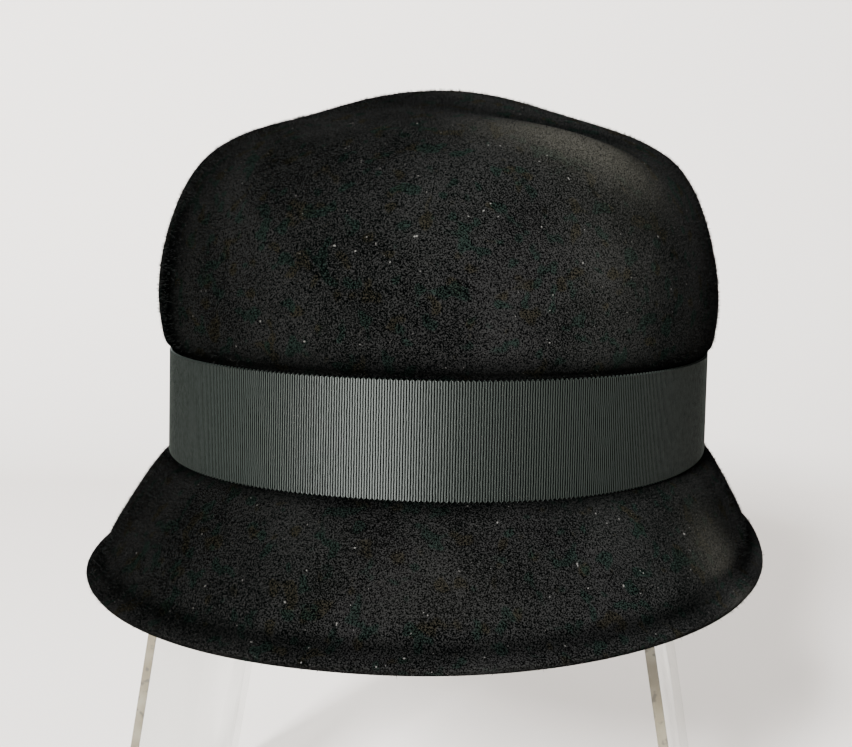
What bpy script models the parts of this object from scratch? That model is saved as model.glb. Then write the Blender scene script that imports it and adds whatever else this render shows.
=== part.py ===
"""A cloche hat of black velour felt, trimmed with a grosgrain ribbon, on a clear bent-sheet stand.

Metres, +Z up. The wearer's face looks along -Y. Bearings go round the hat from the front
(0 degrees) by the +X side (90), the back (180) and the -X side (270).
"""

import math
from collections import namedtuple

import bmesh
import bpy
from mathutils import Vector
from mathutils.bvhtree import BVHTree

# The head opening, measured inside the felt at the headline, where the brim leaves the crown
HEAD_WIDTH = 0.1616
HEAD_LENGTH = 0.199
OVAL_FULLNESS = 2.2

# The felt body, one blocked piece
FELT_WALL = 0.0025
CROWN_RISE = 0.0815
CROWN_LEAN = -0.0017
BRIM_REACH = 0.0235
BRIM_DROP = 0.0300

# The ribbon round the foot of the crown
RIBBON_WIDTH = 0.030
RIBBON_THICKNESS = 0.001
RIBBON_LAP = 0.014
RIBBON_EDGE_ROOM = 0.0006
RIBBON_LAP_BEARING = 180.0

# The stand, one sheet bent twice
STAND_HEIGHT = 0.250
STAND_TOP_WIDTH = 0.1045
STAND_DEPTH = 0.103
STAND_SHEET = 0.003
STAND_BEND_RADIUS = 0.006
STAND_SPLAY = 10.0
STAND_SHIFT = -0.0025

# Touching pieces keep this much air between them
CONTACT_GAP = 0.0003

# How finely the shapes are cut
BEARINGS = 64
SEAT_STEPS = 3
STEPS_PER_CROWN_ROW = 2
BRIM_STEPS = 9
BEND_STEPS = 6
LAP_RISE_STEPS = 2
SEAT_TEST_STEPS = 8

# Divisors are kept from nothing at the tip
SMALLEST = 1e-6

# The crown above the ribbon: height as a share of CROWN_RISE, and the reach to the side, the
# front and the back as shares of the headline's half width and half length.
CrownRow = namedtuple("CrownRow", "height side front back")
CROWN = [
    CrownRow(0.000, 1.002, 1.002, 1.002),
    CrownRow(0.022, 1.034, 1.024, 1.026),
    CrownRow(0.075, 1.046, 1.034, 1.038),
    CrownRow(0.180, 1.056, 1.042, 1.048),
    CrownRow(0.290, 1.048, 1.034, 1.040),
    CrownRow(0.390, 1.031, 1.010, 1.018),
    CrownRow(0.490, 1.005, 0.974, 0.982),
    CrownRow(0.580, 0.972, 0.928, 0.938),
    CrownRow(0.660, 0.930, 0.872, 0.884),
    CrownRow(0.735, 0.866, 0.794, 0.810),
    CrownRow(0.805, 0.752, 0.680, 0.704),
    CrownRow(0.865, 0.602, 0.544, 0.562),
    CrownRow(0.920, 0.425, 0.388, 0.400),
    CrownRow(0.970, 0.235, 0.218, 0.222),
    CrownRow(1.000, 0.000, 0.000, 0.000),
]

# The brim's section from headline to edge, as shares of its reach and drop: it leaves the
# ribbon in a short shelf, falls straight and turns out a little at the very edge.
BrimRow = namedtuple("BrimRow", "out down")
BRIM_SECTION = [
    BrimRow(0.000, 0.000),
    BrimRow(0.140, 0.045),
    BrimRow(0.270, 0.160),
    BrimRow(0.380, 0.275),
    BrimRow(0.480, 0.390),
    BrimRow(0.575, 0.505),
    BrimRow(0.670, 0.620),
    BrimRow(0.765, 0.745),
    BrimRow(0.858, 0.868),
    BrimRow(1.000, 1.000),
]

# How the brim's reach and drop change round the hat, as shares of BRIM_REACH and BRIM_DROP
BrimStation = namedtuple("BrimStation", "bearing reach drop")
BRIM_ROUND = [
    BrimStation(0.0, 1.20, 1.11),
    BrimStation(45.0, 1.10, 1.03),
    BrimStation(90.0, 0.86, 0.99),
    BrimStation(135.0, 0.74, 0.90),
    BrimStation(180.0, 0.72, 0.87),
    BrimStation(225.0, 0.78, 0.90),
    BrimStation(270.0, 0.99, 1.10),
    BrimStation(315.0, 1.15, 1.13),
]

# Soft dents pressed down into the tip. Places and spreads are shares of the headline's half
# width (right) and half length (forward), depth is a share of CROWN_RISE.
Dent = namedtuple("Dent", "name right forward spread_right spread_forward depth")
TIP_DENTS = [
    Dent("long hollow on the right", 0.50, 0.42, 0.36, 0.13, 0.030),
    Dent("thumb mark on the left", -0.44, 0.05, 0.14, 0.40, 0.012),
]

FELT_COLOUR = (0.012, 0.013, 0.013, 1.0)
RIBBON_COLOUR = (0.055, 0.068, 0.064, 1.0)
STAND_COLOUR = (0.93, 0.95, 0.90, 0.30)


def headline_half_sizes():
    """Half width and half length of the felt's outside at the headline."""
    return HEAD_WIDTH / 2 + FELT_WALL, HEAD_LENGTH / 2 + FELT_WALL


def seat_height():
    """Height of the felt's straight zone that the ribbon lies against."""
    return RIBBON_WIDTH + 2 * RIBBON_EDGE_ROOM


def between_rows(values, at):
    """Catmull-Rom through the values of a table's column; at counts rows, whole or in between."""
    first = min(int(at), len(values) - 2)
    part = at - first
    before = values[first - 1] if first > 0 else 2 * values[0] - values[1]
    start, end = values[first], values[first + 1]
    last = first + 2 >= len(values)
    after = 2 * values[-1] - values[-2] if last else values[first + 2]
    return 0.5 * (
        2 * start
        + (end - before) * part
        + (2 * before - 5 * start + 4 * end - after) * part**2
        + (3 * start - before - 3 * end + after) * part**3
    )


def crown_row(at):
    """The crown's section between the rows of CROWN. The last row mirrored keeps the tip level."""
    before_tip = CROWN[-2]
    past_tip = CrownRow(before_tip.height, *(-reach for reach in before_tip[1:]))
    rows = CROWN + [past_tip]
    return CrownRow(*(between_rows(column, at) for column in zip(*rows)))


def brim_station(bearing):
    """Reach and drop of the brim's edge at a bearing, in metres."""
    count = len(BRIM_ROUND)
    at = (bearing % 360.0) / (360.0 / count)
    wrapped = [BRIM_ROUND[(int(at) + step) % count] for step in (-1, 0, 1, 2)]
    part = 1 + at - int(at)
    reach = between_rows([row.reach for row in wrapped], part)
    drop = between_rows([row.drop for row in wrapped], part)
    return reach * BRIM_REACH, drop * BRIM_DROP


def oval(bearing, half_width, front, back):
    """A point of a head-shaped oval and the outward direction there, both level."""
    angle = math.radians(bearing)
    across, along = math.sin(angle), math.cos(angle)
    length = front if along > 0 else back
    power = 2 / OVAL_FULLNESS
    point = Vector((
        half_width * math.copysign(abs(across) ** power, across),
        -length * math.copysign(abs(along) ** power, along),
        0.0,
    ))
    outward = Vector((
        math.copysign(abs(across) ** (2 - power), across) / max(half_width, SMALLEST),
        -math.copysign(abs(along) ** (2 - power), along) / max(length, SMALLEST),
        0.0,
    ))
    return point, outward.normalized()


def pressed(point):
    """The crown's point after the tip's dents have lowered it."""
    half_width, half_length = headline_half_sizes()
    seat = seat_height()
    share_up = max(0.0, min(1.0, (point.z - seat) / CROWN_RISE))
    fade = share_up * share_up * (3 - 2 * share_up)
    for dent in TIP_DENTS:
        right = (point.x / half_width - dent.right) / dent.spread_right
        forward = (-point.y / half_length - dent.forward) / dent.spread_forward
        depth = dent.depth * CROWN_RISE * math.exp(-(right * right + forward * forward))
        point.z -= depth * fade
    return point


def crown_point(at, bearing):
    """Outside of the crown above the ribbon."""
    half_width, half_length = headline_half_sizes()
    row = crown_row(at)
    front, back = row.front * half_length, row.back * half_length
    point, _ = oval(bearing, row.side * half_width, front, back)
    point.x += row.height * CROWN_LEAN
    point.z = seat_height() + row.height * CROWN_RISE
    return pressed(point)


def seat_point(share, bearing, stand_off=0.0):
    """Outside of the felt's straight zone, or a point that far off it."""
    half_width, half_length = headline_half_sizes()
    grown = [1 + (reach - 1) * share for reach in (CROWN[0].side, CROWN[0].front, CROWN[0].back)]
    sizes = (grown[0] * half_width, grown[1] * half_length, grown[2] * half_length)
    point, outward = oval(bearing, *sizes)
    point.z = share * seat_height()
    return point + outward * stand_off


def brim_point(share, bearing):
    """Outside of the brim, from the headline (0) to the edge (1)."""
    at = share * (len(BRIM_SECTION) - 1)
    out = between_rows([row.out for row in BRIM_SECTION], at)
    down = between_rows([row.down for row in BRIM_SECTION], at)
    reach, drop = brim_station(bearing)
    half_width, half_length = headline_half_sizes()
    point, outward = oval(bearing, half_width, half_length, half_length)
    return point + outward * (out * reach) - Vector((0, 0, down * drop))


def make_material(name, colour, roughness, transmission=0.0):
    material = bpy.data.materials.new(name)
    material.use_nodes = True
    shader = material.node_tree.nodes["Principled BSDF"]
    shader.inputs["Base Color"].default_value = colour
    shader.inputs["Roughness"].default_value = roughness
    shader.inputs["Metallic"].default_value = 0.0
    shader.inputs["Transmission Weight"].default_value = transmission
    material.diffuse_color = colour
    return material


def strip_between(shape, lower, upper, closed):
    """Faces between two lines of vertices, facing out where the lines run by rising bearing."""
    count = len(lower) if closed else len(lower) - 1
    for i in range(count):
        j = (i + 1) % len(lower)
        shape.faces.new((lower[i], lower[j], upper[j], upper[i]))


def surface_object(name, lines, closed, pole=None):
    """An open surface lofted through lines of points, closed at the top by a pole if given."""
    shape = bmesh.new()
    rows = [[shape.verts.new(point) for point in line] for line in lines]
    for lower, upper in zip(rows, rows[1:]):
        strip_between(shape, lower, upper, closed)
    if pole is not None:
        top = shape.verts.new(pole)
        ring = rows[-1]
        for i, vertex in enumerate(ring):
            shape.faces.new((vertex, ring[(i + 1) % len(ring)], top))
    mesh = bpy.data.meshes.new(name)
    shape.to_mesh(mesh)
    shape.free()
    mesh.shade_smooth()
    return bpy.data.objects.new(name, mesh)


def give_wall(obj, thickness, offset):
    """Turns an open surface into a solid sheet; offset -1 grows inwards and 1 outwards."""
    wall = obj.modifiers.new("wall", "SOLIDIFY")
    wall.thickness = thickness
    wall.offset = offset
    wall.use_even_offset = True
    wall.use_rim = True


def round_bearings():
    return [360.0 * i / BEARINGS for i in range(BEARINGS)]


def make_felt_body(collection):
    """Crown and brim, blocked from one felt and open below."""
    bearings = round_bearings()
    lines = []
    for i in range(BRIM_STEPS):
        share = 1 - i / BRIM_STEPS
        lines.append([brim_point(share, b) for b in bearings])
    for i in range(SEAT_STEPS):
        lines.append([seat_point(i / SEAT_STEPS, b) for b in bearings])
    crown_steps = (len(CROWN) - 1) * STEPS_PER_CROWN_ROW
    for i in range(crown_steps):
        at = i / STEPS_PER_CROWN_ROW
        lines.append([crown_point(at, b) for b in bearings])
    tip = crown_point(len(CROWN) - 1, 0.0)
    felt = surface_object("felt_body", lines, closed=True, pole=tip)
    give_wall(felt, FELT_WALL, -1)
    felt.data.materials.append(make_material("black_velour_felt", FELT_COLOUR, 0.95))
    collection.objects.link(felt)
    return felt


def make_ribbon(collection):
    """The grosgrain strip. It goes once round on the felt, and its end rises over its start."""
    step = 360.0 / BEARINGS
    half_length = headline_half_sizes()[1]
    lap_steps = max(1, round(math.degrees(RIBBON_LAP / half_length) / step))
    start = RIBBON_LAP_BEARING
    lift = RIBBON_THICKNESS + CONTACT_GAP
    places = []
    for i in range(BEARINGS + lap_steps + 1):
        risen = max(0.0, min(1.0, 1 + (i - BEARINGS) / LAP_RISE_STEPS))
        places.append((start + i * step, CONTACT_GAP + risen * lift))
    room = RIBBON_EDGE_ROOM / seat_height()
    lines = []
    for i in range(SEAT_STEPS + 1):
        share = room + (1 - 2 * room) * i / SEAT_STEPS
        lines.append([seat_point(share, b, off) for b, off in places])
    ribbon = surface_object("ribbon_band", lines, closed=False)
    give_wall(ribbon, RIBBON_THICKNESS, 1)
    ribbon.data.materials.append(make_material("grosgrain", RIBBON_COLOUR, 0.65))
    collection.objects.link(ribbon)
    return ribbon


def stand_outline():
    """Right half of the stand's section from its middle to its foot: outer line, inner line."""
    splay = math.radians(STAND_SPLAY)
    outer_radius = STAND_BEND_RADIUS + STAND_SHEET
    bend_z = STAND_HEIGHT - outer_radius
    leg_x = STAND_TOP_WIDTH / 2 + outer_radius * math.tan(splay)
    bend_x = leg_x - outer_radius / math.cos(splay)
    foot_x = STAND_TOP_WIDTH / 2 + STAND_HEIGHT * math.tan(splay)
    turns = [
        math.pi / 2 + (splay - math.pi / 2) * i / BEND_STEPS for i in range(BEND_STEPS + 1)
    ]
    lines = []
    for radius, foot in (
        (outer_radius, foot_x),
        (STAND_BEND_RADIUS, foot_x - STAND_SHEET / math.cos(splay)),
    ):
        bend = [(bend_x + radius * math.cos(t), bend_z + radius * math.sin(t)) for t in turns]
        lines.append(bend + [(foot, 0.0)])
    return lines


def make_stand(collection):
    """Clear sheet bent to a flat top and two splayed legs, cut level at the feet."""
    outer, inner = stand_outline()
    outline = outer + inner[::-1]
    outline += [(-x, z) for x, z in inner] + [(-x, z) for x, z in outer[::-1]]
    curve = bpy.data.curves.new("display_stand", "CURVE")
    curve.dimensions = "2D"
    curve.fill_mode = "BOTH"
    curve.extrude = STAND_DEPTH / 2
    spline = curve.splines.new("POLY")
    spline.points.add(len(outline) - 1)
    for point, (x, z) in zip(spline.points, outline):
        point.co = (x, z, 0.0, 1.0)
    spline.use_cyclic_u = True
    stand = bpy.data.objects.new("display_stand", curve)
    stand.rotation_euler = (math.pi / 2, 0.0, 0.0)
    stand.location.x = STAND_SHIFT
    stand.data.materials.append(make_material("clear_sheet", STAND_COLOUR, 0.08, 0.9))
    collection.objects.link(stand)
    return stand


def evaluated_bounds(objects):
    """Lowest and highest corner of the objects as they stand."""
    graph = bpy.context.evaluated_depsgraph_get()
    points = []
    for obj in objects:
        shown = obj.evaluated_get(graph)
        mesh = shown.to_mesh()
        points += [shown.matrix_world @ vertex.co for vertex in mesh.vertices]
        shown.to_mesh_clear()
    low = Vector(min(p[i] for p in points) for i in range(3))
    high = Vector(max(p[i] for p in points) for i in range(3))
    return low, high


def seated_lift(felt):
    """How far the hat's frame rises for the felt to rest on the stand's top and bends."""
    graph = bpy.context.evaluated_depsgraph_get()
    tree = BVHTree.FromObject(felt, graph)
    outer, _ = stand_outline()
    flat = outer[0][0]
    steps = SEAT_TEST_STEPS
    samples = [(flat * i / steps, STAND_HEIGHT) for i in range(steps)] + outer[:-1]
    room = None
    for side in (-1, 1):
        for x, z in samples:
            for i in range(-steps, steps + 1):
                y = STAND_DEPTH / 2 * i / steps
                under = Vector((STAND_SHIFT + side * x, y, 0.0))
                hit = tree.ray_cast(under, Vector((0, 0, 1)))[0]
                if hit is not None and (room is None or hit.z - z < room):
                    room = hit.z - z
    return CONTACT_GAP - room


def main():
    for obj in list(bpy.data.objects):
        bpy.data.objects.remove(obj, do_unlink=True)
    collection = bpy.data.collections.new("cloche_hat_on_stand")
    bpy.context.scene.collection.children.link(collection)

    hat_frame = bpy.data.objects.new("hat_frame", None)
    collection.objects.link(hat_frame)
    felt = make_felt_body(collection)
    ribbon = make_ribbon(collection)
    stand = make_stand(collection)
    bpy.context.view_layer.update()

    lift = seated_lift(felt)
    felt.parent = hat_frame
    ribbon.parent = hat_frame
    hat_frame.location.z = lift
    bpy.context.view_layer.update()

    low, high = evaluated_bounds([felt, ribbon, stand])
    middle = (low + high) / 2
    hat_frame.location.x -= middle.x
    hat_frame.location.y -= middle.y
    stand.location.x -= middle.x
    stand.location.y -= middle.y
    bpy.context.view_layer.update()


main()
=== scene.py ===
"""A black velour-felt cloche with a grosgrain ribbon, resting on a clear bent-sheet stand.

Metres, +Z up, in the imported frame. The front of the hat looks along -Y.
"""

import math
import random

import bmesh
import bpy
from mathutils import Matrix, Vector
from mathutils.kdtree import KDTree


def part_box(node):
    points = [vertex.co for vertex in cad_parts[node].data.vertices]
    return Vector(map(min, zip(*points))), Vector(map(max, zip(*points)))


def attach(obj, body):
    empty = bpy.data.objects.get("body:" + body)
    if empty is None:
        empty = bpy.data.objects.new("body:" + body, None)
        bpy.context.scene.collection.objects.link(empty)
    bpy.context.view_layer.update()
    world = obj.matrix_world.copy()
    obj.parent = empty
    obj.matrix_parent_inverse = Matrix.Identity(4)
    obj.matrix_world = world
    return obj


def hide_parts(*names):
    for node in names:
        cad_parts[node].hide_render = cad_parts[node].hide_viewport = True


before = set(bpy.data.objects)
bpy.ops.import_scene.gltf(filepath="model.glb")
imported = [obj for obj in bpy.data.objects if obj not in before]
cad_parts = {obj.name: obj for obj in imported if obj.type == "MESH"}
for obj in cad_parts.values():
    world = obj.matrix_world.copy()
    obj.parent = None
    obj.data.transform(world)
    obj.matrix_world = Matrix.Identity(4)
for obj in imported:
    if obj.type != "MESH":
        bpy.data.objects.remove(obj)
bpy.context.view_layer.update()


# Clear stand
# One 3 mm sheet of clear acrylic, warmed and bent twice into a table with splayed legs. Its broad
# faces are polished, and its edges were sawn, scraped and left a little rough and yellowed.

STAND_SHEET = 0.003
STAND_BEND = 0.006
STAND_SPLAY = math.radians(10.0)
STAND_TOP = 0.1055
STAND_NUDGE = -0.0024  # the hat was set down a little off the stand's middle
STAND_BEND_STEPS = 16
STAND_ARRIS = 0.0002
STAND_SHARP = math.radians(50)
STAND_SMOOTH = math.radians(35)
LEG_OVERRUN = 1.1
WELD = 1e-6

SHEET_TINT = (0.975, 0.982, 0.972, 1.0)
SHEET_IOR = 1.49
SHEET_MIRROR = 0.5
SHEET_POLISH = 0.04
SMEARED = 0.1
SMEAR_SCALE = 34

# How solid the sawn edges look, as the light that runs inside the sheet comes out of them
NEAR_EDGE = 0.93
FAR_EDGE = 0.16
ARRIS_EDGE = 0.75
EDGE_OLIVE = (0.115, 0.105, 0.072, 1.0)
EDGE_AMBER = (0.080, 0.066, 0.038, 1.0)
EDGE_GRIME = (0.015, 0.012, 0.008, 1.0)
EDGE_MOTTLE_SCALE = 90
EDGE_GRIME_SCALE = 330
EDGE_GRIME_SHARE = 0.7
EDGE_ROUGH = 0.45
EDGE_GLOSS = 0.3


class Paint:
    """A socket in a material's tree. Sums and products of it add their Math nodes."""

    def __init__(self, tree, socket=None):
        self.tree = tree
        self.socket = socket

    def node(self, kind, settings=None, values=None, output=0):
        """Adds a node. Its settings are set first, then its sockets' values or links."""
        made = self.tree.nodes.new(kind)
        for name, setting in (settings or {}).items():
            setattr(made, name, setting)
        for name, value in (values or {}).items():
            if isinstance(value, Paint):
                self.tree.links.new(value.socket, made.inputs[name])
            else:
                made.inputs[name].default_value = value
        return Paint(self.tree, made.outputs[output])

    def maths(self, operation, first, second=0.0):
        """A Math node."""
        return self.node("ShaderNodeMath", {"operation": operation}, {0: first, 1: second})

    def __add__(self, other):
        return self.maths("ADD", self, other)

    def __radd__(self, other):
        return self.maths("ADD", other, self)

    def __sub__(self, other):
        return self.maths("SUBTRACT", self, other)

    def __rsub__(self, other):
        return self.maths("SUBTRACT", other, self)

    def __mul__(self, other):
        return self.maths("MULTIPLY", self, other)

    def __rmul__(self, other):
        return self.maths("MULTIPLY", other, self)

    def __lt__(self, other):
        return self.maths("LESS_THAN", self, other)

    def size(self):
        return self.maths("ABSOLUTE", self)

    def wave(self):
        return self.maths("SINE", self)

    def rise(self, low, high):
        """0 below low, 1 above high, and a smooth step between."""
        return self.node(
            "ShaderNodeMapRange",
            {"interpolation_type": "SMOOTHSTEP"},
            {"Value": self, "From Min": low, "From Max": high},
        )

    def blend(self, share, first, second):
        """From the first colour to the second as share goes from 0 to 1."""
        values = {0: share, 6: first, 7: second}
        return self.node("ShaderNodeMix", {"data_type": "RGBA"}, values, output=2)

    def arrow(self, operation, first, second=None, scale=None):
        """A Vector Math node."""
        values = {0: first}
        if second is not None:
            values[1] = second
        if scale is not None:
            values["Scale"] = scale
        return self.node("ShaderNodeVectorMath", {"operation": operation}, values)

    def speckle(self, where, scale, detail=2.0, roughness=0.5):
        """Noise over the place, about 0 to 1."""
        values = {"Vector": where, "Scale": scale, "Detail": detail, "Roughness": roughness}
        return self.node("ShaderNodeTexNoise", {"noise_dimensions": "3D"}, values)


def new_paint(name):
    """An empty material and a Paint that adds nodes to it."""
    material = bpy.data.materials.new(name)
    material.use_nodes = True
    material.node_tree.nodes.clear()
    return material, Paint(material.node_tree)


def coat(paint, shader):
    """Lays the finished shader on the material."""
    output = paint.tree.nodes.new("ShaderNodeOutputMaterial")
    paint.tree.links.new(shader.socket, output.inputs["Surface"])


def edit(obj):
    """Leaves everything else alone and opens this piece in edit mode."""
    if bpy.context.object and bpy.context.object.mode != "OBJECT":
        bpy.ops.object.mode_set(mode="OBJECT")
    bpy.ops.object.select_all(action="DESELECT")
    bpy.context.view_layer.objects.active = obj
    obj.select_set(True)
    bpy.ops.object.mode_set(mode="EDIT")


def pick(obj, kind, chosen):
    """Selects the vertices, edges or faces for which chosen says so, in edit mode."""
    bpy.ops.mesh.select_mode(type=kind)
    bpy.ops.mesh.select_all(action="DESELECT")
    shape = bmesh.from_edit_mesh(obj.data)
    cells = {"VERT": shape.verts, "EDGE": shape.edges, "FACE": shape.faces}[kind]
    for cell in cells:
        if chosen(cell):
            cell.select_set(True)
    shape.select_flush_mode()
    bmesh.update_edit_mesh(obj.data)


stand_low, stand_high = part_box("display_stand")
stand_middle = (stand_low + stand_high) / 2
stand_depth = stand_high.y - stand_low.y
bend_outside = STAND_BEND + STAND_SHEET
leg_line = STAND_TOP / 2 + bend_outside * math.tan(STAND_SPLAY)
bend_x = leg_line - bend_outside / math.cos(STAND_SPLAY)
bend_z = stand_high.z - bend_outside

# Half of the sheet's path: along the top, round the bend and down the leg
bpy.ops.object.select_all(action="DESELECT")
bpy.ops.mesh.primitive_plane_add(size=1)
stand = bpy.context.object
stand.name = "clear_stand"
edit(stand)
bpy.ops.transform.resize(value=(STAND_SHEET, stand_depth, 1))
bpy.ops.transform.rotate(value=math.pi / 2, orient_axis="Y", center_override=(0, 0, 0))
bpy.ops.transform.translate(value=(0, stand_middle.y, stand_high.z - STAND_SHEET / 2))
bpy.ops.mesh.extrude_region_move(TRANSFORM_OT_translate={"value": (bend_x, 0, 0)})
bpy.ops.mesh.spin(
    steps=STAND_BEND_STEPS,
    angle=math.pi / 2 - STAND_SPLAY,
    center=(bend_x, stand_middle.y, bend_z),
    axis=(0, -1, 0),
)
leg = Vector((math.sin(STAND_SPLAY), 0, -math.cos(STAND_SPLAY))) * stand_high.z * LEG_OVERRUN
bpy.ops.mesh.extrude_region_move(TRANSFORM_OT_translate={"value": leg})
bpy.ops.mesh.select_all(action="SELECT")
bpy.ops.mesh.remove_doubles(threshold=WELD)
bpy.ops.mesh.select_all(action="SELECT")
bpy.ops.mesh.bisect(
    plane_co=(0, 0, stand_low.z), plane_no=(0, 0, -1), use_fill=True, clear_outer=True
)
pick(stand, "FACE", lambda face: abs(face.calc_center_median().x) < 10 * WELD)
bpy.ops.mesh.delete(type="FACE")
bpy.ops.object.mode_set(mode="OBJECT")

# Its mirror image, put in place, and the sharp arris of every edge scraped off
bpy.ops.object.modifier_add(type="MIRROR")
bpy.ops.object.modifier_apply(modifier="Mirror")
edit(stand)
bpy.ops.mesh.select_all(action="SELECT")
bpy.ops.mesh.remove_doubles(threshold=WELD)
bpy.ops.mesh.select_all(action="SELECT")
bpy.ops.mesh.normals_make_consistent(inside=False)
bpy.ops.transform.translate(value=(stand_middle.x + STAND_NUDGE, 0, 0))
bpy.ops.mesh.select_all(action="DESELECT")
bpy.ops.mesh.edges_select_sharp(sharpness=STAND_SHARP)
bpy.ops.mesh.bevel(offset=STAND_ARRIS, segments=2)
bpy.ops.object.mode_set(mode="OBJECT")
bpy.ops.object.shade_smooth_by_angle(angle=STAND_SMOOTH)

material, paint = new_paint("clear_sheet")
place = paint.node("ShaderNodeTexCoord", output=3)
across = paint.node("ShaderNodeSeparateXYZ", values={0: place}, output=1)
from_end = stand_depth / 2 - (across - stand_middle.y).size()
near_end = across < stand_middle.y
cut_face = from_end < STAND_ARRIS * 0.3
arris = (from_end < STAND_ARRIS) - cut_face
edge = cut_face * (FAR_EDGE + near_end * (NEAR_EDGE - FAR_EDGE)) + arris * ARRIS_EDGE
smears = paint.speckle(place, SMEAR_SCALE, detail=4).rise(0.52, 0.75)
clear = paint.node("ShaderNodeBsdfTransparent", values={"Color": SHEET_TINT})
gloss = paint.node("ShaderNodeBsdfAnisotropic", values={
    "Color": (1, 1, 1, 1), "Roughness": SHEET_POLISH + smears * SMEARED
})
mirror = paint.node("ShaderNodeFresnel", values={"IOR": SHEET_IOR})
sheet = paint.node("ShaderNodeMixShader", values={0: mirror * SHEET_MIRROR, 1: clear, 2: gloss})
mottle = paint.speckle(place, EDGE_MOTTLE_SCALE, detail=3).rise(0.35, 0.65)
grime = paint.speckle(place, EDGE_GRIME_SCALE, detail=2).rise(0.58, 0.66)
edge_colour = paint.blend(mottle, EDGE_OLIVE, EDGE_AMBER)
sawn = paint.node("ShaderNodeBsdfPrincipled", values={
    "Base Color": paint.blend(grime * EDGE_GRIME_SHARE, edge_colour, EDGE_GRIME),
    "Roughness": EDGE_ROUGH,
    "Specular IOR Level": EDGE_GLOSS,
})
coat(paint, paint.node("ShaderNodeMixShader", values={0: edge, 1: sheet, 2: sawn}))
stand.data.materials.append(material)
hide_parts("display_stand")
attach(stand, "root")


# Felt body
# Crown and brim are one hood of velour felt, steamed over a block. The brim's edge is cut raw,
# without a binding, and turns out a little. The nap is brushed up and hides the cut.

HAT_OFF_STAND = 0.0025
FELT_WALL = 0.0025
FELT_WELD = 1e-5
FELT_ROUNDING = 2
CUT_FACING = -0.4
CUT_SHARP = math.radians(70)
CUT_CORNER = 0.0006

FELT_BLACK = (0.0002, 0.0003, 0.0003, 1.0)
FELT_GREY = (0.0108, 0.0108, 0.0105, 1.0)
FELT_BROWN = (0.0100, 0.0085, 0.0045, 1.0)
FELT_GREEN = (0.0050, 0.0100, 0.0078, 1.0)
FELT_LINT = (0.070, 0.068, 0.064, 1.0)
# The colour of the painted highlight on the felt's lip, cut edge and lit sides
FELT_PAINTED_LIGHT = (0.026, 0.025, 0.021, 1.0)
TUFT_SCALE = 2800
TUFT_RAGGED = 0.6
TUFT_DEPTH = 0.0004
TUFT_STRENGTH = 0.5
CLOUD_SCALE = 45
CLOUD_SHARE = 0.20
CLOUD_DEPTH = 0.5
BROWN_SCALE = 170
BROWN_SHARE = 0.6
GREEN_SCALE = 210
GREEN_SHARE = 0.7
LINT_SCALE = 800

# Painted shade on the felt on both sides of the ribbon, darkest right against its edges
RIBBON_SHADE_ABOVE = 0.009
RIBBON_SHADE_BELOW = 0.004
RIBBON_SHADE_KEEPS = 0.2

# How far the nap leans round the hat and how far down, against 1 along the surface's normal
NAP_LAY = 1.1
NAP_FALL = 0.10

# Along the brim's cut edge: name: (distance from it, width, rise, painted light above 0 and
# painted shade below 0)
EDGE_FOLDS = {
    "swell": (0.0000, 0.0022, 0.0007, 0.10),
    "valley": (0.0055, 0.0030, -0.0010, -0.60),
}

# On the felt: name: (middle from hat_middle, half its length, width, rise, painted light above 0
# and painted shade below 0)
FELT_FOLDS = {
    "lip": ((0.046, -0.063, 0.088), (0.024, 0.009, -0.007), 0.0115, 0.0014, 0.85),
    "hollow": ((0.034, -0.040, 0.099), (0.034, 0.008, -0.005), 0.0120, -0.0024, -0.75),
    "slope": ((0.040, -0.008, 0.101), (0.020, 0.000, -0.006), 0.0220, -0.0010, 0.0),
    "left crease": ((-0.034, -0.040, 0.096), (0.024, -0.008, 0.006), 0.0100, -0.0012, -0.40),
    "left side": ((-0.065, -0.076, 0.047), (0.000, 0.000, 0.040), 0.0120, 0.0, -0.90),
    "right side": ((0.059, -0.079, 0.060), (0.000, 0.000, 0.028), 0.0240, 0.0, 0.20),
    "right brim": ((0.089, -0.059, -0.021), (0.006, 0.014, 0.000), 0.0160, 0.0, 0.60),
    "front brim": ((0.021, -0.116, -0.018), (0.035, 0.000, 0.000), 0.0200, 0.0, 0.14),
}

ribbon_low, ribbon_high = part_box("ribbon_band")
hat_middle = Vector((stand_middle.x + HAT_OFF_STAND, stand_middle.y, ribbon_low.z))
felt = bpy.data.objects.new("felt_cap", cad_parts["felt_body"].data.copy())
bpy.context.scene.collection.objects.link(felt)
felt.data.materials.clear()

# The outer face alone, rounded, then given its wall again and a raw cut edge
edit(felt)
bpy.ops.mesh.select_all(action="SELECT")
bpy.ops.mesh.remove_doubles(threshold=FELT_WELD)
bpy.ops.mesh.select_all(action="SELECT")
bpy.ops.mesh.tris_convert_to_quads(
    face_threshold=math.radians(50), shape_threshold=math.radians(60)
)


def inside_or_rim(face):
    """Faces that look into the hollow, and those of the brim's cut edge."""
    place = face.calc_center_median()
    inside = face.normal.dot(place - hat_middle) < 0
    return inside or (face.normal.z < CUT_FACING and place.z < hat_middle.z)


pick(felt, "FACE", inside_or_rim)
bpy.ops.mesh.delete(type="FACE")
bpy.ops.object.mode_set(mode="OBJECT")
bpy.ops.object.modifier_add(type="SUBSURF")
felt.modifiers["Subdivision"].levels = FELT_ROUNDING
felt.modifiers["Subdivision"].render_levels = FELT_ROUNDING
bpy.ops.object.modifier_apply(modifier="Subdivision")


def along_fold(place, middle, half, width):
    """1 in a crease's middle, fading over its length and its width."""
    place = place - Vector(middle)
    along = place.dot(Vector(half)) / Vector(half).length_squared
    across = (place - Vector(half) * along).length / width
    return math.exp(-(across ** 2) - along ** 2)


def swell(distance, width):
    """1 in a fold's middle, fading over its width."""
    return math.exp(-((distance / width) ** 2))
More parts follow.
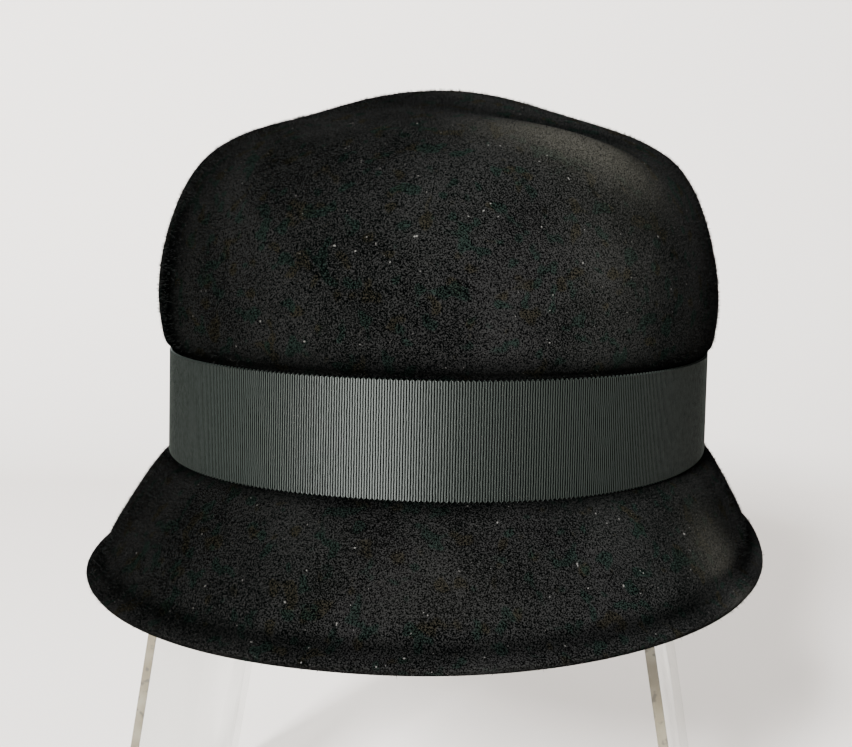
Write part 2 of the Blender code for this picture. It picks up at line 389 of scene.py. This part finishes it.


# The cut edge swells a little over a shallow valley, and the crown's top has its creases. Painted
# light and shade go with them: lighter on the swell and the lip, darker in the valley, the hollow
# and the left crease. Where there is no crease it is darker down the crown's left side and
# lighter on its right side and on the brim's front and right.
edit(felt)
shape = bmesh.from_edit_mesh(felt.data)
shape.normal_update()
rim = [vertex.co.copy() for vertex in shape.verts if vertex.is_boundary]
rim_tree = KDTree(len(rim))
for index, point in enumerate(rim):
    rim_tree.insert(point, index)
rim_tree.balance()
painted_light_tone = shape.verts.layers.float.new("painted_light_tone")
for vertex in shape.verts:
    from_rim = rim_tree.find(vertex.co)[2]
    folds = [
        (swell(from_rim - at, width), rise, tone)
        for at, width, rise, tone in EDGE_FOLDS.values()
    ] + [
        (along_fold(vertex.co - hat_middle, middle, half, width), rise, tone)
        for middle, half, width, rise, tone in FELT_FOLDS.values()
    ]
    vertex[painted_light_tone] = sum(share * tone for share, rise, tone in folds)
    vertex.co += vertex.normal * sum(share * rise for share, rise, tone in folds)
bmesh.update_edit_mesh(felt.data)
bpy.ops.object.mode_set(mode="OBJECT")
bpy.ops.object.modifier_add(type="SOLIDIFY")
felt.modifiers["Solidify"].thickness = FELT_WALL
felt.modifiers["Solidify"].offset = -1
felt.modifiers["Solidify"].use_even_offset = True
bpy.ops.object.modifier_apply(modifier="Solidify")
edit(felt)
bpy.ops.mesh.select_all(action="DESELECT")
bpy.ops.mesh.edges_select_sharp(sharpness=CUT_SHARP)
bpy.ops.mesh.bevel(offset=CUT_CORNER, segments=2)
bpy.ops.object.mode_set(mode="OBJECT")
bpy.ops.object.shade_smooth()

material, paint = new_paint("black_velour_felt")
place = paint.node("ShaderNodeTexCoord", output=3)
tufts = paint.speckle(place, TUFT_SCALE, detail=2, roughness=TUFT_RAGGED)
clouds = paint.speckle(place, CLOUD_SCALE, detail=3)
brown = paint.speckle(place, BROWN_SCALE, detail=1).rise(0.60, 0.68) * BROWN_SHARE
green = paint.speckle(place, GREEN_SCALE, detail=1).rise(0.58, 0.66) * GREEN_SHARE
lint = paint.speckle(place, LINT_SCALE, detail=1).rise(0.765, 0.80)
lit_tufts = (tufts + clouds * CLOUD_SHARE).rise(0.53, 0.72)
tuft_colour = paint.blend(brown, FELT_GREY, FELT_BROWN)
tuft_colour = paint.blend(green, tuft_colour, FELT_GREEN)
colour = paint.blend(lit_tufts, FELT_BLACK, tuft_colour)
colour = paint.blend(lint, colour, FELT_LINT)
up = paint.node("ShaderNodeSeparateXYZ", values={0: place}, output=2)
# Painted shade: the felt's colour goes towards black near both edges of the ribbon
above = (up - ribbon_high.z).rise(0.0, RIBBON_SHADE_ABOVE)
below = (ribbon_low.z - up).rise(0.0, RIBBON_SHADE_BELOW)
clear_of_ribbon_shade = (above + below) * (1 - RIBBON_SHADE_KEEPS) + RIBBON_SHADE_KEEPS
colour = paint.blend(clear_of_ribbon_shade, FELT_BLACK, colour)
# Painted highlight where this tone is above 0, on the tufts, and painted shade towards black
# where it is below 0
tone = paint.node("ShaderNodeAttribute", {"attribute_name": "painted_light_tone"}, output=2)
painted_highlight = tone.rise(0.0, 1.0) * tufts.rise(0.3, 0.6)
colour = paint.blend(painted_highlight, colour, FELT_PAINTED_LIGHT)
colour = paint.blend((0 - tone).rise(0.0, 1.0), colour, FELT_BLACK)

# The nap is brushed round the hat and down, so that it leans away from the surface's normal
from_middle = paint.arrow("SUBTRACT", place, tuple(hat_middle))
round_hat = paint.arrow("NORMALIZE", paint.arrow("CROSS_PRODUCT", from_middle, (0, 0, 1)))
upright = paint.node("ShaderNodeNewGeometry", output=1)
brushed = paint.arrow("ADD", upright, paint.arrow("SCALE", round_hat, scale=NAP_LAY))
brushed = paint.arrow("NORMALIZE", paint.arrow("ADD", brushed, (0, 0, -NAP_FALL)))
fuzz = paint.node("ShaderNodeBump", values={
    "Strength": TUFT_STRENGTH,
    "Distance": TUFT_DEPTH,
    "Height": tufts + clouds * CLOUD_DEPTH,
    "Normal": brushed,
})
coat(paint, paint.node("ShaderNodeBsdfPrincipled", values={
    "Base Color": colour,
    "Roughness": 1.0,
    "Specular IOR Level": 0.0,
    "Normal": fuzz,
}))
felt.data.materials.append(material)
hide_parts("felt_body")
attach(felt, "root")


# Nap
# Tufts of fur that the brushing left standing on the velour felt and that blur its outline. Each
# is a tapered spike, rooted in the outer face, leaning a little round the hat and at random.

HAIRS = 45000
HAIR_SEED = 11
HAIR_LENGTH = 0.0011
HAIR_SHORTEST = 0.4
HAIR_THICK = 0.00018
HAIR_ROOT = 0.0002
HAIR_LEAN = 0.4
HAIR_STRAY = 0.6
HAIR_UNDERSIDE = -0.6
HAIR_COLOUR = (0.006, 0.0065, 0.0062, 1.0)

dice = random.Random(HAIR_SEED)
outside = [
    face for face in felt.data.polygons
    if face.normal.dot(face.center - hat_middle) > 0 and face.normal.z > HAIR_UNDERSIDE
]
hair_corners = []
hair_faces = []
for face in dice.choices(outside, weights=[face.area for face in outside], k=HAIRS):
    corners = [felt.data.vertices[index].co for index in face.vertices]
    root = corners[0].lerp(corners[1], dice.random()).lerp(
        corners[2].lerp(corners[-1], dice.random()), dice.random()
    )
    round_way = face.normal.cross(Vector((0, 0, 1))).normalized()
    stray = Vector((dice.uniform(-1, 1), dice.uniform(-1, 1), dice.uniform(-1, 1)))
    way = (face.normal + round_way * HAIR_LEAN + stray * HAIR_STRAY).normalized()
    side = way.cross(stray).normalized() * HAIR_THICK / 2
    other = way.cross(side)
    foot = root - way * HAIR_ROOT
    tip = root + way * HAIR_LENGTH * dice.uniform(HAIR_SHORTEST, 1.0)
    at = len(hair_corners)
    hair_corners += [foot + side, foot - side / 2 + other, foot - side / 2 - other, tip]
    hair_faces += [(at, at + 2, at + 1)]
    hair_faces += [(at, at + 1, at + 3), (at + 1, at + 2, at + 3), (at + 2, at, at + 3)]
hairs = bpy.data.meshes.new("felt_nap")
hairs.from_pydata(hair_corners, [], hair_faces)
nap = bpy.data.objects.new("felt_nap", hairs)
bpy.context.scene.collection.objects.link(nap)
material, paint = new_paint("fur_fibre")
coat(paint, paint.node("ShaderNodeBsdfPrincipled", values={
    "Base Color": HAIR_COLOUR, "Roughness": 1.0, "Specular IOR Level": 0.0
}))
nap.data.materials.append(material)
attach(nap, "root")


# Ribbon
# One length of grosgrain laid round the foot of the crown: fine silky warp over thick weft cords,
# which stand upright here and end in small loops at both edges. Its end laps over its start at
# the centre back.

RIB_PITCH = 0.00068
RIB_RELIEF = 0.00014
RIB_LOOP = 0.00034
RIB_COLUMNS = 4
RIB_PROFILE = (0.0, 0.72, 1.0, 0.72)
RIB_WANDER = 0.9
RIB_WANDER_SCALE = 700
RIBBON_ROWS = (0.0, 0.012, 0.03, 0.5, 0.97, 0.988, 1.0)
RIBBON_THICK = 0.0007
RIBBON_OFF = 0.0004
RIBBON_LAP = 0.014
RIBBON_SMOOTH = math.radians(60)
LAP_RISE = 0.006
RIBBON_BEARINGS = 360
BEARING_REACH = 0.2
BEARING_INSET = 0.001
WARP_PITCH = 0.00016
WARP_ROUND = 0.45
# Painted shade in the valleys between the ribs
RIBBON_VALLEY_SHADE = (0.0001, 0.0001, 0.0001, 1.0)
RIBBON_LIGHT = (0.0065, 0.0090, 0.0076, 1.0)
RIBBON_ROUGH = 0.9
SHINE_TINT = (0.95, 1.0, 0.96, 1.0)
SHINE_ROUGH = 0.45
SHINE_SHARE = 0.030

ribbon_width = ribbon_high.z - ribbon_low.z


def felt_at(bearing, height):
    """Where a level line from the hat's middle at this bearing leaves the felt."""
    way = Vector((math.sin(bearing), -math.cos(bearing), 0))
    start = Vector((hat_middle.x, hat_middle.y, height)) + way * BEARING_REACH
    return felt.ray_cast(start, -way)[1]


# The felt's outline under both edges of the ribbon, from the centre back round to it again
low_line = []
high_line = []
for step in range(RIBBON_BEARINGS + 1):
    bearing = math.pi + 2 * math.pi * step / RIBBON_BEARINGS
    low_line.append(felt_at(bearing, ribbon_low.z + BEARING_INSET))
    high_line.append(felt_at(bearing, ribbon_high.z - BEARING_INSET))
lengths = [0.0]
for before, after in zip(low_line, low_line[1:]):
    lengths.append(lengths[-1] + (after - before).length)
round_length = lengths[-1]


def laid(along, up):
    """A point on the felt under the ribbon, and the outward direction there."""
    along %= round_length
    step = max(i for i in range(len(lengths) - 1) if lengths[i] <= along)
    part = (along - lengths[step]) / (lengths[step + 1] - lengths[step])
    low = low_line[step].lerp(low_line[step + 1], part)
    high = high_line[step].lerp(high_line[step + 1], part)
    ahead = (low_line[step + 1] - low_line[step]).normalized()
    point = low.lerp(high, up)
    point.z = ribbon_low.z + up * ribbon_width
    return point, ahead.cross(Vector((0, 0, 1)))


rib_count = round((round_length + RIBBON_LAP) / RIB_PITCH)
columns = rib_count * RIB_COLUMNS
bpy.ops.object.select_all(action="DESELECT")
bpy.ops.mesh.primitive_grid_add(
    x_subdivisions=columns, y_subdivisions=len(RIBBON_ROWS) - 1, size=1
)
ribbon = bpy.context.object
ribbon.name = "grosgrain_ribbon"
column_lines = []
for column in range(columns + 1):
    along = (round_length + RIBBON_LAP) * column / columns
    risen = max(0.0, min(1.0, 1 + (along - round_length) / LAP_RISE))
    risen = risen * risen * (3 - 2 * risen)
    off = RIBBON_OFF + risen * (RIBBON_THICK + RIB_RELIEF)
    column_lines.append((laid(along, 0.0), laid(along, 1.0), off))
for vertex in ribbon.data.vertices:
    column = round((vertex.co.x + 0.5) * columns)
    row = round((vertex.co.y + 0.5) * (len(RIBBON_ROWS) - 1))
    (low, outward), (high, _), off = column_lines[column]
    rib = RIB_PROFILE[column % RIB_COLUMNS]
    point = low.lerp(high, RIBBON_ROWS[row]) + outward * (off + rib * RIB_RELIEF)
    if row in (0, len(RIBBON_ROWS) - 1):
        point.z += math.cos(math.pi * (column / RIB_COLUMNS)) * RIB_LOOP
    vertex.co = point
bpy.ops.object.modifier_add(type="SOLIDIFY")
ribbon.modifiers["Solidify"].thickness = RIBBON_THICK - RIB_RELIEF
ribbon.modifiers["Solidify"].offset = 1
bpy.ops.object.modifier_apply(modifier="Solidify")
bpy.ops.object.shade_smooth_by_angle(angle=RIBBON_SMOOTH)

material, paint = new_paint("grosgrain")
place = paint.node("ShaderNodeTexCoord", output=3)
up = paint.node("ShaderNodeSeparateXYZ", values={0: place}, output=2)
cloth = paint.node("ShaderNodeUVMap", {"uv_map": ribbon.data.uv_layers[0].name})
weave = paint.node("ShaderNodeSeparateXYZ", values={0: cloth}, output=0)
width = paint.node("ShaderNodeSeparateXYZ", values={0: cloth}, output=1)
wander = (paint.speckle(place, RIB_WANDER_SCALE, detail=1) - 0.5) * RIB_WANDER
crest = 0.5 - 0.5 * (weave * (2 * math.pi * rib_count) + wander + math.pi / 2).wave()

# The weft turns back at both edges, so that a loop joins every second pair of ribs there
weft_turn = (weave * (math.pi * rib_count) + math.pi / 2).wave()
high_loops = width.rise(0.80, 0.92) * weft_turn.rise(0.1, 0.7)
low_loops = (1 - width).rise(0.80, 0.92) * (0 - weft_turn).rise(0.1, 0.7)
crest = crest.maths("MAXIMUM", crest, high_loops + low_loops)

# Each fine warp thread is round, so that the light spreads up and down over it
warp = (up * (2 * math.pi / WARP_PITCH)).wave() * WARP_ROUND
tilt = paint.node("ShaderNodeCombineXYZ", values={2: warp})
upright = paint.node("ShaderNodeNewGeometry", output=1)
tilted = paint.arrow("NORMALIZE", paint.arrow("ADD", upright, tilt))
# The base colour is painted shade in the valleys between the ribs and the ribbon's own colour on
# their crests
silk = paint.node("ShaderNodeBsdfPrincipled", values={
    "Base Color": paint.blend(crest.rise(0.70, 1.0), RIBBON_VALLEY_SHADE, RIBBON_LIGHT),
    "Roughness": RIBBON_ROUGH,
    "Specular IOR Level": 0.0,
    "Normal": tilted,
})
shine = paint.node("ShaderNodeBsdfAnisotropic", values={
    "Color": SHINE_TINT, "Roughness": SHINE_ROUGH, "Normal": tilted
})
coat(paint, paint.node("ShaderNodeMixShader", values={
    0: crest.rise(0.80, 1.0) * SHINE_SHARE, 1: silk, 2: shine
}))
ribbon.data.materials.append(material)
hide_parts("ribbon_band")
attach(ribbon, "root")


# Floor and backdrop
# One pale seamless paper sweep, so that no line shows behind the hat. It faces the camera and
# rises well behind the stand, which leaves the object open to view from the sides and the back.

SWEEP_PALE = (0.82, 0.785, 0.75, 1.0)
SWEEP_WALL = 0.85
SWEEP_BEND = 0.25
SWEEP_WIDTH = 6.0
SWEEP_FRONT = 4.0
SWEEP_HEIGHT = 3.0
SWEEP_STEPS = 24
VIEW_TURN = math.radians(12.8)

sweep_start = stand_middle.y + SWEEP_WALL - SWEEP_BEND
bpy.ops.object.select_all(action="DESELECT")
bpy.ops.mesh.primitive_plane_add(size=1)
sweep = bpy.context.object
sweep.name = "sweep"
edit(sweep)
bpy.ops.transform.resize(value=(SWEEP_WIDTH, SWEEP_FRONT, 1))
bpy.ops.transform.translate(value=(0, sweep_start - SWEEP_FRONT / 2, 0))
pick(sweep, "EDGE", lambda line: all(end.co.y > sweep_start - 0.01 for end in line.verts))
bpy.ops.mesh.spin(
    steps=SWEEP_STEPS, angle=math.pi / 2, center=(0, sweep_start, SWEEP_BEND), axis=(-1, 0, 0)
)
bpy.ops.mesh.extrude_region_move(TRANSFORM_OT_translate={"value": (0, 0, SWEEP_HEIGHT)})
bpy.ops.mesh.select_all(action="SELECT")
bpy.ops.mesh.remove_doubles(threshold=WELD)
bpy.ops.object.mode_set(mode="OBJECT")
bpy.ops.object.shade_smooth()
sweep.data.transform(Matrix.Rotation(VIEW_TURN, 4, "Z"))
material, paint = new_paint("pale_sweep")
coat(paint, paint.node("ShaderNodeBsdfPrincipled", values={
    "Base Color": SWEEP_PALE,
    "Roughness": 0.9,
    "Specular IOR Level": 0.1,
}))
sweep.data.materials.append(material)


# Light
# A soft square key stands in front on the left and a weak lamp hangs high on the right, for the
# sheen along the crown's edge. A pale room fills the rest.

LIGHT_AIM = Vector((0, 0, 0.19))
ROOM_STRENGTH = 0.50

# name: (place as the camera faces, size, power)
LAMPS = {
    "key": ((-0.81, -1.68, 1.06), 0.36, 212.0),
    "top_right": ((0.45, -0.10, 0.95), 0.30, 2.0),
}


def aimed(place, target):
    """The turn that makes a lamp at this place shine at the target."""
    return (target - place).to_track_quat("-Z", "Y").to_euler()


turned = Matrix.Rotation(VIEW_TURN, 3, "Z")
for name, (lamp_place, size, power) in LAMPS.items():
    hung = turned @ Vector(lamp_place)
    bpy.ops.object.light_add(type="AREA", location=hung, rotation=aimed(hung, LIGHT_AIM))
    lamp = bpy.context.object
    lamp.name = name
    lamp.data.size = size
    lamp.data.energy = power

room = bpy.data.worlds.new("pale_room")
room.use_nodes = True
room.node_tree.nodes["Background"].inputs["Color"].default_value = (1, 1, 1, 1)
room.node_tree.nodes["Background"].inputs["Strength"].default_value = ROOM_STRENGTH
bpy.context.scene.world = room


# Camera
# It stands close to the hat and a little above the ribbon, round towards the hat's left, looks
# slightly down and is held not quite level.

CAMERA_PLACE = Vector((0.0780, -0.3643, 0.0648))
CAMERA_DOWN = math.radians(7.0)
CAMERA_ROLL = math.radians(1.03)
PHOTO_WIDTH = 852
FOCAL_PIXELS = 1110
SENSOR = 36.0

under_ribbon = Vector((stand_middle.x, stand_middle.y, ribbon_low.z))
bpy.ops.object.camera_add(location=under_ribbon + CAMERA_PLACE)
camera = bpy.context.object
camera.rotation_euler = (
    turned
    @ Matrix.Rotation(math.pi / 2 - CAMERA_DOWN, 3, "X")
    @ Matrix.Rotation(CAMERA_ROLL, 3, "Z")
).to_euler()
camera.data.sensor_width = SENSOR
camera.data.lens = SENSOR * FOCAL_PIXELS / PHOTO_WIDTH
bpy.context.scene.camera = camera
